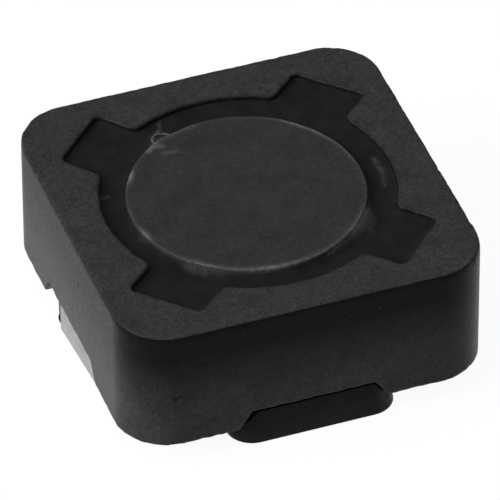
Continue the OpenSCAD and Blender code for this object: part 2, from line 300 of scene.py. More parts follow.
class Shape:
    """Vertices, faces and a value for each vertex, gathered into one mesh. The value marks wear where it is
    positive and painted shade where it is negative.
    """

    def __init__(self):
        self.points, self.faces, self.wear_and_shade = [], [], []

    def add(self, points, wear_and_shade=0.0):
        """Adds points and returns their indices."""
        start = len(self.points)
        points = np.asarray(points, float)
        self.points.extend(map(tuple, points))
        self.wear_and_shade.extend(np.broadcast_to(np.asarray(wear_and_shade, float), (len(points),)))
        return np.arange(start, start + len(points))

    def band(self, lower, upper):
        """Joins two closed loops of the same count."""
        for i in range(len(lower)):
            j = (i + 1) % len(lower)
            self.faces.append((lower[i], lower[j], upper[j], upper[i]))

    def cap(self, loop, centre):
        """Closes a loop to one middle point."""
        for i in range(len(loop)):
            self.faces.append((loop[i], loop[(i + 1) % len(loop)], centre))

    def make(self, name, material, smooth_angle=40.0):
        mesh = bpy.data.meshes.new(name)
        mesh.from_pydata(self.points, [], [tuple(int(i) for i in face) for face in self.faces])
        wear_and_shade = mesh.attributes.new("wear_and_shade", "FLOAT", "POINT")
        wear_and_shade.data.foreach_set("value", np.asarray(self.wear_and_shade, np.float32))
        mesh.validate()
        return placed(name, mesh, material, smooth_angle)


def read_vertices(mesh, name="co"):
    """The vertices' places, or their normals."""
    values = np.zeros(len(mesh.vertices) * 3)
    mesh.vertices.foreach_get(name, values)
    return values.reshape(-1, 3)


def placed(name, mesh, material, smooth_angle):
    """An object in the scene for a mesh, in one material."""
    piece = bpy.data.objects.new(name, mesh)
    bpy.context.scene.collection.objects.link(piece)
    smoothed(piece, smooth_angle)
    mesh.materials.clear()
    mesh.materials.append(material)
    return piece


def smoothed(piece, sharp_angle):
    """Shades a mesh smooth, apart from edges sharper than the angle in degrees, and turns it outward."""
    body = bmesh.new()
    body.from_mesh(piece.data)
    bmesh.ops.recalc_face_normals(body, faces=body.faces)
    limit = math.radians(sharp_angle)
    for face in body.faces:
        face.smooth = True
    for edge in body.edges:
        edge.smooth = edge.is_manifold and edge.calc_face_angle(0.0) < limit
    body.to_mesh(piece.data)
    body.free()
    piece.data.update()


def waves(points, size, seed):
    """Smooth noise between about -1 and 1 at each point, with features of the given size."""
    shift = Vector((seed * 7.31, seed * 3.17, seed * 5.71))
    return np.array([noise.noise(Vector(point) / size + shift) for point in points])


def unevened(piece, height, sizes, seed):
    """Moves the vertices along their normals by noise of several sizes."""
    mesh = piece.data
    points, normals = read_vertices(mesh), read_vertices(mesh, "normal")
    lift = sum(waves(points, size, seed + i) for i, size in enumerate(sizes)) * height / len(sizes)
    mesh.vertices.foreach_set("co", (points + normals * lift[:, None]).ravel())
    mesh.update()


def scattered(outer, inner, step, margin, draw):
    """Points spread over the area between two outlines, at least a margin away from both."""
    low, high = outer.min(axis=0), outer.max(axis=0)
    rows = []
    for j, y in enumerate(np.arange(low[1], high[1], step * 0.87)):
        for x in np.arange(low[0] + (j % 2) * step / 2, high[0], step):
            rows.append((x + draw.uniform(-0.2, 0.2) * step, y + draw.uniform(-0.2, 0.2) * step))
    points = np.array(rows)
    points = points[inside(points, outer) & ~inside(points, inner)]
    return points[(clearance(points, outer) > margin) & (clearance(points, inner) > margin)]


def filled(outer, inner, loose, extra_edges=()):
    """Triangles over the area between two outlines, with the outer loop's points first,
    then the inner loop's, then the loose ones."""
    points = np.vstack([outer, inner, loose])
    count, held = len(outer), len(inner)
    edges = [(i, (i + 1) % count) for i in range(count)]
    edges += [(count + i, count + (i + 1) % held) for i in range(held)]
    edges += list(extra_edges)
    found = geometry.delaunay_2d_cdt(
        [Vector(point / MM) for point in points], edges, [], 0, 1e-7
    )
    if len(found[0]) != len(points):
        raise RuntimeError("the outlines cross, so their area can't be filled")
    faces = np.array([face for face in found[2]])
    middles = points[faces].mean(axis=1)
    return faces[inside(middles, outer) & ~inside(middles, inner)]


def dressed(piece, slot_name, *nodes):
    """Keeps a piece within the frame's box, makes it ride on the one body and hides its frame nodes."""
    points = read_vertices(piece.data)
    piece.data.vertices.foreach_set("co", np.clip(points, *map(np.array, CAD_BOX)).ravel())
    piece.data.update()
    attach(piece, "root")
    if nodes:
        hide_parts(*nodes)
    return piece


# Materials

class Nodes:
    """A short way to build a material's node tree."""

    def __init__(self, name):
        self.material = bpy.data.materials.new(name)
        self.material.use_nodes = True
        self.tree = self.material.node_tree
        self.tree.nodes.clear()
        self.output = self.tree.nodes.new("ShaderNodeOutputMaterial")
        self.shader = self.tree.nodes.new("ShaderNodeBsdfPrincipled")
        self.join(self.shader.outputs[0], self.output.inputs["Surface"])
        self.place = self.tree.nodes.new("ShaderNodeTexCoord").outputs["Object"]

    def join(self, source, target):
        self.tree.links.new(source, target)

    def feed(self, value, socket):
        """Gives a socket a plain value, or joins another socket to it."""
        if isinstance(value, (int, float, tuple, list)):
            socket.default_value = value
        else:
            self.join(value, socket)

    def fixed(self, **values):
        """Sets the shader's own sockets, with underscores for the spaces in their names."""
        for name, value in values.items():
            self.shader.inputs[name.replace("_", " ")].default_value = value

    def grain(self, size, detail=2.0, roughness=0.5, stretch=None):
        """Noise with features of a real size, as a value round 0.5."""
        node = self.tree.nodes.new("ShaderNodeTexNoise")
        node.inputs["Scale"].default_value = 1.0 / size
        node.inputs["Detail"].default_value = detail
        node.inputs["Roughness"].default_value = roughness
        source = self.place
        if stretch:
            mapping = self.tree.nodes.new("ShaderNodeMapping")
            mapping.inputs["Scale"].default_value = stretch
            self.join(source, mapping.inputs["Vector"])
            source = mapping.outputs[0]
        self.join(source, node.inputs["Vector"])
        return node.outputs["Fac"]

    def spots(self, size, spread):
        """Small round spots: 1 at a spot's middle and 0 outside it."""
        node = self.tree.nodes.new("ShaderNodeTexVoronoi")
        node.inputs["Scale"].default_value = 1.0 / spread
        self.join(self.place, node.inputs["Vector"])
        return self.graded(node.outputs["Distance"], size / spread, 0.0, 0.0, 1.0)

    def graded(self, value, from_low, from_high, to_low, to_high):
        """A value carried from one range to another, held at its ends."""
        node = self.tree.nodes.new("ShaderNodeMapRange")
        for name, number in zip(
            ("From Min", "From Max", "To Min", "To Max"), (from_low, from_high, to_low, to_high)
        ):
            node.inputs[name].default_value = number
        self.join(value, node.inputs["Value"])
        return node.outputs["Result"]

    def maths(self, operation, first, second):
        node = self.tree.nodes.new("ShaderNodeMath")
        node.operation = operation
        for socket, value in zip(node.inputs, (first, second)):
            self.feed(value, socket)
        return node.outputs[0]

    def blend(self, factor, first, second):
        """Mixes two colours, each a colour or a socket."""
        node = self.tree.nodes.new("ShaderNodeMix")
        node.data_type = "RGBA"
        self.join(factor, node.inputs["Factor"])
        for socket, value in zip([s for s in node.inputs if s.type == "RGBA"], (first, second)):
            self.feed(value, socket)
        return [s for s in node.outputs if s.type == "RGBA"][0]

    def scaled(self, colour, factor):
        """A colour socket or colour made lighter or darker by a value."""
        node = self.tree.nodes.new("ShaderNodeVectorMath")
        node.operation = "SCALE"
        self.feed(colour[:3] if isinstance(colour, (tuple, list)) else colour, node.inputs[0])
        self.join(factor, node.inputs["Scale"])
        return node.outputs[0]

    def part_of(self, vector, axis):
        """One part of a vector."""
        node = self.tree.nodes.new("ShaderNodeSeparateXYZ")
        self.join(vector, node.inputs[0])
        return node.outputs[axis]

    def facing(self):
        """The direction that the surface faces, in the object's own frame."""
        node = self.tree.nodes.new("ShaderNodeTexCoord")
        return node.outputs["Normal"]

    def held(self, name):
        """A value that the mesh holds for each vertex."""
        node = self.tree.nodes.new("ShaderNodeAttribute")
        node.attribute_name = name
        return node.outputs["Fac"]

    def colour(self, socket):
        self.join(socket, self.shader.inputs["Base Color"])

    def roughness(self, socket):
        self.join(socket, self.shader.inputs["Roughness"])

    def bump(self, height, distance, strength=1.0, under=None):
        node = self.tree.nodes.new("ShaderNodeBump")
        node.inputs["Distance"].default_value = distance
        node.inputs["Strength"].default_value = strength
        self.join(height, node.inputs["Height"])
        if under is not None:
            self.join(under, node.inputs["Normal"])
        self.join(node.outputs[0], self.shader.inputs["Normal"])
        return node.outputs[0]


def shade(colour, factor):
    """A colour made lighter or darker by a factor, as a node's colour."""
    return tuple(min(1.0, part * factor) for part in colour[:3]) + (1.0,)


def ferrite(name, colour, worn, coarseness, wall=None, top_shade=None):
    """Sintered ferrite: a speckled grain, slow clouds of tone and sparse pale grains. The value held by the
    mesh makes it paler where it is chipped, and where negative paints shade into its pits and over the bore's
    lip. Walls are painted darker toward their top as painted shade, the bore's walls are painted darker as
    painted shade, and faces that look up are a little cooler, a painted tint of the light from above."""
    made = Nodes(name)
    body = colour = tuple(colour) + (1.0,)
    if wall is not None:
        # Painted shade: the outer walls fade from the wall colour at their foot to a far darker colour toward
        # their top.
        height = made.graded(made.part_of(made.place, 2), 2.1 * MM, 4.45 * MM, 0.0, 1.0)
        across = made.maths("ABSOLUTE", made.part_of(made.place, 0), 0.0)
        along = made.maths("ABSOLUTE", made.part_of(made.place, 1), 0.0)
        # Painted shade: the bore's walls get a darker copy of the wall colour, as shade inside the bore.
        outside = made.graded(made.maths("MAXIMUM", across, along), 5.45 * MM, 5.6 * MM, 0.0, 1.0)
        outer = made.blend(height, tuple(wall) + (1.0,), tuple(top_shade) + (1.0,))
        shaded_walls = made.blend(outside, shade(wall, 0.42), outer)
        # Faces that look up keep the upper face's colour, a little cooler than the walls': a painted tint of
        # the light from above.
        facing = made.graded(made.part_of(made.facing(), 2), 0.35, 0.8, 0.0, 1.0)
        body = made.blend(facing, shaded_walls, colour)
    clouds = made.graded(made.grain(1.1 * MM, 3.0), 0.3, 0.7, 0.88, 1.12)
    mottle = made.graded(made.grain(0.22 * MM, 3.0), 0.3, 0.7, 1 - 0.22 * coarseness, 1 + 0.22 * coarseness)
    speckle = made.grain(0.075 * MM, 2.0, 0.6)
    grains = made.graded(speckle, 0.3, 0.7, 1 - 0.38 * coarseness, 1 + 0.38 * coarseness)
    level = made.maths("MULTIPLY", made.maths("MULTIPLY", clouds, mottle), grains)
    body = made.scaled(body, level)
    pale = made.maths("MULTIPLY", made.spots(0.05 * MM, 0.45 * MM), 0.5 * coarseness)
    body = made.blend(pale, body, shade(colour, 3.0))
    wear_and_shade = made.held("wear_and_shade")
    patchy = made.graded(made.grain(0.12 * MM, 2.0), 0.35, 0.65, 0.45, 1.0)
    body = made.blend(made.maths("MULTIPLY", made.maths("MAXIMUM", wear_and_shade, 0.0), patchy), body, worn)
    # Negative values paint shade: nearly black in the pits and darker over the bore's lip.
    pit_and_lip_shade = made.maths("MULTIPLY", made.maths("MINIMUM", wear_and_shade, 0.0), -1.0)
    made.colour(made.blend(pit_and_lip_shade, body, (0.002, 0.002, 0.002, 1.0)))
    made.roughness(made.graded(speckle, 0.3, 0.7, 0.29, 0.43))
    coarse = made.bump(made.grain(0.2 * MM, 3.0), 0.014 * MM * coarseness, 0.7)
    made.bump(made.grain(0.05 * MM, 1.0), 0.006 * MM * coarseness, 0.7, coarse)
    made.fixed(IOR=1.15)
    return made.material


def cured_adhesive(name, colour, trace, bank=None):
    """Black filled epoxy: almost even, with a soft sheen, a little pale dust, and paler where the mesh
    says that it has dried thin or banked up."""
    made = Nodes(name)
    clouds = made.graded(made.grain(0.6 * MM, 2.0), 0.35, 0.65, 0.0, 1.0)
    body = made.blend(clouds, shade(colour, 0.82), shade(colour, 1.18))
    dust = made.maths("MULTIPLY", made.spots(0.045 * MM, 0.5 * MM), 0.3)
    body = made.blend(dust, body, shade(colour, 5.0))
    if bank is not None:
        crumbs = made.graded(made.grain(0.07 * MM, 2.0), 0.3, 0.7, 0.6, 1.4)
        body = made.blend(made.held("bank"), body, made.scaled(tuple(bank), crumbs))
    patchy = made.graded(made.grain(0.1 * MM, 2.0), 0.35, 0.65, 0.35, 1.0)
    thin = made.maths("MULTIPLY", made.maths("MAXIMUM", made.held("wear_and_shade"), 0.0), patchy)
    made.colour(made.blend(thin, body, tuple(trace) + (1.0,)))
    made.roughness(made.graded(made.grain(0.3 * MM, 2.0), 0.3, 0.7, 0.42, 0.58))
    made.bump(made.grain(0.09 * MM, 2.0), 0.004 * MM, 0.5)
    made.fixed(IOR=1.14)
    return made.material


def moulded_plastic(name, colour):
    """Glass-filled black plastic with a fine eroded skin."""
    made = Nodes(name)
    clouds = made.graded(made.grain(0.8 * MM, 3.0), 0.3, 0.7, 0.0, 1.0)
    made.colour(made.blend(clouds, shade(colour, 0.8), shade(colour, 1.3)))
    made.roughness(made.graded(made.grain(0.12 * MM, 2.0), 0.3, 0.7, 0.45, 0.6))
    made.bump(made.grain(0.06 * MM, 2.0), 0.004 * MM, 0.6)
    made.fixed(IOR=1.15)
    return made.material


def tinned_metal(name, colour, drag):
    """Matt tin plate, with faint lines along the strip and duller patches."""
    made = Nodes(name)
    patches = made.graded(made.grain(0.5 * MM, 3.0), 0.3, 0.7, 0.0, 1.0)
    made.colour(made.blend(patches, shade(colour, 0.84), shade(colour, 1.06)))
    made.roughness(made.graded(made.grain(0.2 * MM, 2.0), 0.3, 0.7, 0.38, 0.55))
    lines = made.grain(0.05 * MM, 1.0, 0.5, drag)
    made.bump(lines, 0.003 * MM, 0.5)
    made.fixed(Metallic=1.0)
    return made.material


def enamelled_wire(name, colour):
    """Copper under clear enamel, slightly uneven in tone."""
    made = Nodes(name)
    patches = made.graded(made.grain(0.5 * MM, 2.0), 0.3, 0.7, 0.0, 1.0)
    made.colour(made.blend(patches, shade(colour, 0.8), shade(colour, 1.1)))
    made.roughness(made.graded(made.grain(0.2 * MM, 2.0), 0.3, 0.7, 0.28, 0.4))
    made.fixed(Metallic=1.0, Coat_Weight=0.6, Coat_Roughness=0.12)
    return made.material


def plain_floor(name):
    """White card. The camera and reflections see it at full white, less the object's shadow."""
    made = Nodes(name)
    tree = made.tree
    tree.nodes.remove(made.shader)
    rays = tree.nodes.new("ShaderNodeLightPath")
    seen = made.maths("MAXIMUM", rays.outputs["Is Camera Ray"], rays.outputs["Is Glossy Ray"])
    seen = made.maths("MAXIMUM", seen, rays.outputs["Is Transmission Ray"])
    card = tree.nodes.new("ShaderNodeBsdfDiffuse")
    made.join(made.blend(seen, (0.5, 0.5, 0.5, 1.0), (0.08, 0.08, 0.08, 1.0)), card.inputs["Color"])
    glow = tree.nodes.new("ShaderNodeEmission")
    made.join(made.maths("MULTIPLY", seen, 0.94), glow.inputs["Strength"])
    both = tree.nodes.new("ShaderNodeAddShader")
    made.join(card.outputs[0], both.inputs[0])
    made.join(glow.outputs[0], both.inputs[1])
    made.join(both.outputs[0], made.output.inputs["Surface"])
    return made.material


# Pieces

def worn_inset(outline, radius, seed, roughness):
    """How far each point of an edge is worn back: an uneven radius, more so the rougher the edge is."""
    flat = raised(outline, 0.0)
    slow, fine = waves(flat, 0.7 * MM, seed), waves(flat, 0.2 * MM, seed + 1)
    chip = np.clip(waves(flat, 0.3 * MM, seed + 2) - 0.35, 0.0, 1.0)
    return radius * (1 + roughness * (0.35 * slow + 0.4 * fine + 1.5 * chip))


def wavy(outline, height, seed):
    """The outline with slow and quick waves in it, as a pressed and sintered edge has."""
    flat = raised(outline, 0.0)
    lift = 0.6 * waves(flat, 0.9 * MM, seed) + 0.4 * waves(flat, 0.3 * MM, seed + 1)
    return outline + outward(outline) * (height * lift)[:, None]


def dented(piece, dents):
    """Presses pits into a surface. Each has a place, a radius and a depth in mm, and how much painted shade
    darkens it.
    """
    mesh = piece.data
    points, normals = read_vertices(mesh), read_vertices(mesh, "normal")
    wear_and_shade = np.zeros(len(points))
    mesh.attributes["wear_and_shade"].data.foreach_get("value", wear_and_shade)
    for place, radius, depth, shade_amount in dents:
        away = np.linalg.norm(points - np.array(place) * MM, axis=1) / (radius * MM)
        press = np.clip(1 - away ** 2, 0.0, 1.0)
        points -= normals * (press ** 2 * depth * MM)[:, None]
        wear_and_shade -= press * shade_amount
    mesh.vertices.foreach_set("co", points.ravel())
    mesh.attributes["wear_and_shade"].data.foreach_set("value", wear_and_shade.astype(np.float32))
    mesh.update()


# Strokes of dried adhesive on the drum's edge and beside it: their ends in mm, their width and strength
TRACES = (
    ((-2.42, 3.02), (-2.02, 3.34), 0.09, 0.9),
    ((-2.02, 3.34), (-1.98, 3.92), 0.05, 0.7),
    ((-1.98, 3.92), (-1.62, 4.20), 0.05, 0.5),
    ((-1.62, 4.20), (-1.50, 4.56), 0.06, 0.35),
    ((-2.20, 3.16), (-1.90, 3.10), 0.08, 0.6),
    ((-1.95, 2.74), (-1.55, 2.70), 0.10, 0.3),
    ((-1.34, 3.70), (-0.60, 3.72), 0.10, 0.3),
    ((4.52, -0.35), (4.50, 0.35), 0.10, 0.35),
    ((4.35, -1.05), (4.46, -0.55), 0.09, 0.25),
    ((-4.62, 1.45), (-4.30, 1.50), 0.05, 0.4),
)


def traced(points):
    """How strongly dried adhesive shows at each point."""
    found = np.zeros(len(points))
    for start, end, width, strength in TRACES:
        start, end = np.array(start) * MM, np.array(end) * MM
        along = np.clip((points[:, :2] - start) @ (end - start) / np.sum((end - start) ** 2), 0.0, 1.0)
        away = np.linalg.norm(points[:, :2] - start - along[:, None] * (end - start), axis=1)
        found = np.maximum(found, strength * np.exp(-((away / (width * MM)) ** 2)))
    return found


def spread(angles, bumps):
    """The sum of bumps round a circle. Each has its angle and half width in degrees, and its height."""
    total = np.zeros(len(angles))
    for middle, half_width, height in bumps:
        off = (angles - middle + 180.0) % 360.0 - 180.0
        total += height * np.exp(-((off / half_width) ** 2))
    return total


def round_from(points, centre):
    """Each point's angle round a centre, in degrees."""
    return np.degrees(np.arctan2(points[:, 1] - centre[1], points[:, 0] - centre[0]))


class INDUCTOR_OT_ring(bpy.types.Operator):
    """Builds the ferrite ring with its bore, glue pockets, notches and worn edges"""

    bl_idname = "inductor.ring"
    bl_label = "Ferrite Ring"

    STEP = 0.075 * MM
    ROUND_STEPS = 5
    WALL_ROWS = 44
    # Pits in the walls: place, radius and depth in mm, and how much painted shade darkens each.
    DENTS = (
        ((-6.25, 2.10, 1.36), 0.16, 0.06, 1.0),
        ((-6.25, -1.09, 3.98), 0.12, 0.03, 0.9),
        ((-4.90, -6.25, 2.90), 0.12, 0.02, 0.5),
        ((-4.74, -6.25, 2.80), 0.14, 0.03, 0.8),
        ((-4.57, -6.25, 2.90), 0.12, 0.02, 0.6),
        ((-3.95, -6.25, 4.06), 0.16, 0.01, 0.5),
        ((-3.72, -6.25, 4.12), 0.16, 0.01, 0.6),
        ((-3.48, -6.25, 4.16), 0.16, 0.01, 0.5),
    )

    def execute(self, context):
        ring = context.scene.inductor_ring
        draw = random.Random(11)
        foot = ring.notch_width / 2
        crest = foot - ring.notch_height / math.tan(ring.notch_slope)
        offsets = (-foot, -crest, crest, foot)
        outer, marks = snapped(resampled(rounded_square(SHIELD_HIGH.x, ring.corner_radius), self.STEP), offsets)
        inner = wavy(resampled(bore_outline(ring), self.STEP), 0.035 * MM, 61)

        def under(points):
            """Height of the underside, which rises in the four notches."""
            beside = np.abs(points).min(axis=1)
            rise = np.clip((foot - beside) / (foot - crest), 0.0, 1.0)
            return SHIELD_LOW.z + rise * ring.notch_height

        shape = Shape()
        loops = {}
        # The last number of each edge paints shade over its rounded lip: the bore's lip darker where it turns
        # down into the bore, the outer edge not at all.
        for label, outline, inward, seed, edge, drop, lip_shade in (
            ("outer", outer, -outward(outer), 3, ring.edge_radius, 5.0, 0.0),
            ("inner", inner, outward(inner), 5, ring.bore_radius, 1.0, 0.55),
        ):
            worn = worn_inset(outline, edge, seed, 0.8)
            worn_low = worn_inset(outline, ring.low_radius, seed + 70, 1.3)
            floor = under(outline)
            flat = outline + inward * (worn + 0.06 * MM)[:, None]
            rows = [shape.add(raised(flat, SHIELD_HIGH.z))]
            for k in range(self.ROUND_STEPS + 1):
                turn = math.pi / 2 * k / self.ROUND_STEPS
                flat = outline + inward * (worn * (1 - math.sin(turn)))[:, None]
                height = SHIELD_HIGH.z - drop * worn * (1 - math.cos(turn))
                rows.append(shape.add(raised(flat, height), -lip_shade * (0.3 + 0.7 * math.sin(turn))))
            low_edge = floor + worn_low
            for k in range(1, self.WALL_ROWS + 1):
                part = k / self.WALL_ROWS
                height = (1 - part) * (SHIELD_HIGH.z - drop * worn) + part * low_edge
                rows.append(shape.add(raised(outline, height)))
            for turn in (math.pi / 6, math.pi / 3, math.pi / 2):
                flat = outline + inward * (worn_low * (1 - math.cos(turn)))[:, None]
                rows.append(shape.add(raised(flat, low_edge - worn_low * math.sin(turn))))
            for upper, lower in zip(rows, rows[1:]):
                if label == "outer":
                    shape.band(lower, upper)
                else:
                    shape.band(upper, lower)
            loops[label] = (rows[0], rows[-1])

        points = np.array(shape.points)
        top_outer, top_inner = points[loops["outer"][0]][:, :2], points[loops["inner"][0]][:, :2]
        loose = scattered(top_outer, top_inner, 0.10 * MM, 0.06 * MM, draw)
        faces = filled(top_outer, top_inner, loose)
        middle = shape.add(raised(loose, SHIELD_HIGH.z))
        index = np.concatenate([loops["outer"][0], loops["inner"][0], middle])
        shape.faces.extend(map(tuple, index[faces]))
        low_outer, low_inner = points[loops["outer"][1]][:, :2], points[loops["inner"][1]][:, :2]
        loose = scattered(low_outer, low_inner, 0.2 * MM, 0.1 * MM, draw)
        lines, notch_edges = creases(low_outer, marks, low_inner, len(outer) + len(inner), 0.15 * MM)
        loose = np.vstack([lines, loose])
        faces = filled(low_outer, low_inner, loose, notch_edges)
        middle = shape.add(np.column_stack([loose, under(loose)]))
        index = np.concatenate([loops["outer"][1], loops["inner"][1], middle])
        shape.faces.extend(map(tuple, index[faces][:, ::-1]))
        worn_tone = shade(ring.colour, 1.9)
        look = ferrite("Ring ferrite", ring.colour, worn_tone, 0.8, ring.wall_colour, ring.top_shade_colour)
        piece = shape.make("ferrite_ring", look)
        unevened(piece, ring.unevenness, (0.25 * MM, 0.6 * MM), 21)
        dented(piece, self.DENTS)
        dressed(piece, "shield_ferrite", "shield_core")
        return {"FINISHED"}


class INDUCTOR_OT_drum(bpy.types.Operator):
    """Builds the ferrite drum with its two flanges, wire slots and worn rims"""

    bl_idname = "inductor.drum"
    bl_label = "Ferrite Drum"

    STEP = 0.08 * MM
    ROUND_STEPS = 4
    WORN_RIM = (
        (41, 13, 1.0),
        (14, 16, 0.45),
        (149, 5, 1.0),
        (-97, 15, 0.75),
        (-70, 12, 0.35),
        (-128, 12, 0.4),
        (-45, 12, 0.5),
        (193, 5, 0.6),
        (110, 12, 0.3),
    )

    def execute(self, context):
        drum = context.scene.inductor_drum
        centre = np.array(((DRUM_LOW + DRUM_HIGH) / 2)[:2])
        radius = (DRUM_HIGH.y - DRUM_LOW.y) / 2
        half_slot = drum.slot_width / 2
        edge = math.degrees(math.asin(half_slot / radius))
        slot_steps = 6
        round_part = arc((0, 0), radius, edge, 180.0 - edge, math.degrees(self.STEP / radius))
        mouth = arc((0, 0), radius, -edge, edge, 2 * edge / (3 * slot_steps))[1:-1]
        side = np.linspace(math.cos(math.radians(edge)) * radius, drum.slot_inner, slot_steps + 1)
        across = np.linspace(-half_slot, half_slot, slot_steps + 1)
        cut = np.concatenate(
            [
                np.column_stack([side[1:], np.full(slot_steps, -half_slot)]),
                np.column_stack([np.full(slot_steps, drum.slot_inner), across[1:]]),
                np.column_stack([side[::-1][1:-1], np.full(slot_steps - 1, half_slot)]),
            ]
        )
        if len(cut) != len(mouth):
            raise RuntimeError("the slot and the rim it cuts need the same count of points")
        whole = np.concatenate([round_part, turned(mouth, 180), turned(round_part, 180), mouth])
        slotted = np.concatenate([round_part, turned(cut, 180), turned(round_part, 180), cut])
        rim = np.concatenate(
            [np.ones(len(round_part)), np.zeros(len(cut)), np.ones(len(round_part)), np.zeros(len(cut))]
        )
        away = whole / radius
        shape = Shape()

        def level(outline, inset, height, wear_and_shade=0.0):
            flat = centre + outline - away * np.asarray(inset)[..., None]
            return shape.add(raised(flat, height), wear_and_shade)

        def flange(outline, low, high, worn_low, worn_high, wear_and_shade=0.0):
            """Loops up the edge of a flange, rounded at both rims."""
            loops = []
            for k in range(self.ROUND_STEPS + 1):
                turn = math.pi / 2 * k / self.ROUND_STEPS
                height = low + worn_low * (1 - math.cos(turn))
                loops.append(level(outline, worn_low * (1 - math.sin(turn)), height))
            for part in (0.33, 0.67):
                height = (1 - part) * (low + worn_low) + part * (high - worn_high)
                loops.append(level(outline, 0 * worn_low, height))
            for k in range(self.ROUND_STEPS + 1):
                turn = math.pi / 2 * k / self.ROUND_STEPS
                loops.append(
                    level(
                        outline,
                        worn_high * (1 - math.cos(turn)),
                        high - worn_high * (1 - math.sin(turn)),
                        wear_and_shade * (0.3 + 0.7 * math.sin(turn)),
                    )
                )
            return loops

        low, high = DRUM_LOW.z, DRUM_HIGH.z
        even = np.full(len(whole), drum.rim_radius)
        rim_wear = spread(round_from(whole, (0.0, 0.0)), self.WORN_RIM)
        worn = worn_inset(whole, drum.rim_radius * 0.5, 9, 1.2) + 0.05 * MM * rim_wear
        post = np.full(len(whole), radius - drum.post_radius)
        loops = [level(whole, radius - part * drum.post_radius, low) for part in (0.02, 0.5, 1.0)]
        loops += flange(slotted, low, low + drum.flange_thickness, even * rim, even * rim)
        loops.append(level(whole, post, low + drum.flange_thickness))
        loops.append(level(whole, post, high - drum.flange_thickness))
        loops += flange(whole, high - drum.flange_thickness, high, even, worn, 0.12 + rim_wear)
        loops.append(level(whole, worn + 0.05 * MM, high, 0.05 + 0.35 * rim_wear))
        inner_edge = radius - drum.rim_radius * 2.5
        rings = int(inner_edge / (0.09 * MM))
        for k in range(rings):
            part = 1 - k / rings
            loops.append(level(whole, radius - inner_edge * max(part, 0.004), high))
        for below, above in zip(loops, loops[1:]):
            shape.band(below, above)
        for loop, height in ((loops[0][::-1], low), (loops[-1], high)):
            shape.cap(loop, shape.add([(centre[0], centre[1], height)])[0])
        points = np.array(shape.points)
        on_top = points[:, 2] > high - 0.05 * MM
        shape.wear_and_shade = list(np.maximum(shape.wear_and_shade, np.where(on_top, traced(points), 0.0)))
        look = ferrite("Drum ferrite", drum.colour, tuple(drum.worn_colour) + (1.0,), 0.5)
        piece = shape.make("ferrite_drum", look)
        unevened(piece, 0.003 * MM, (0.25 * MM, 0.6 * MM), 33)
        dressed(piece, "drum_ferrite", "drum_core")
        return {"FINISHED"}


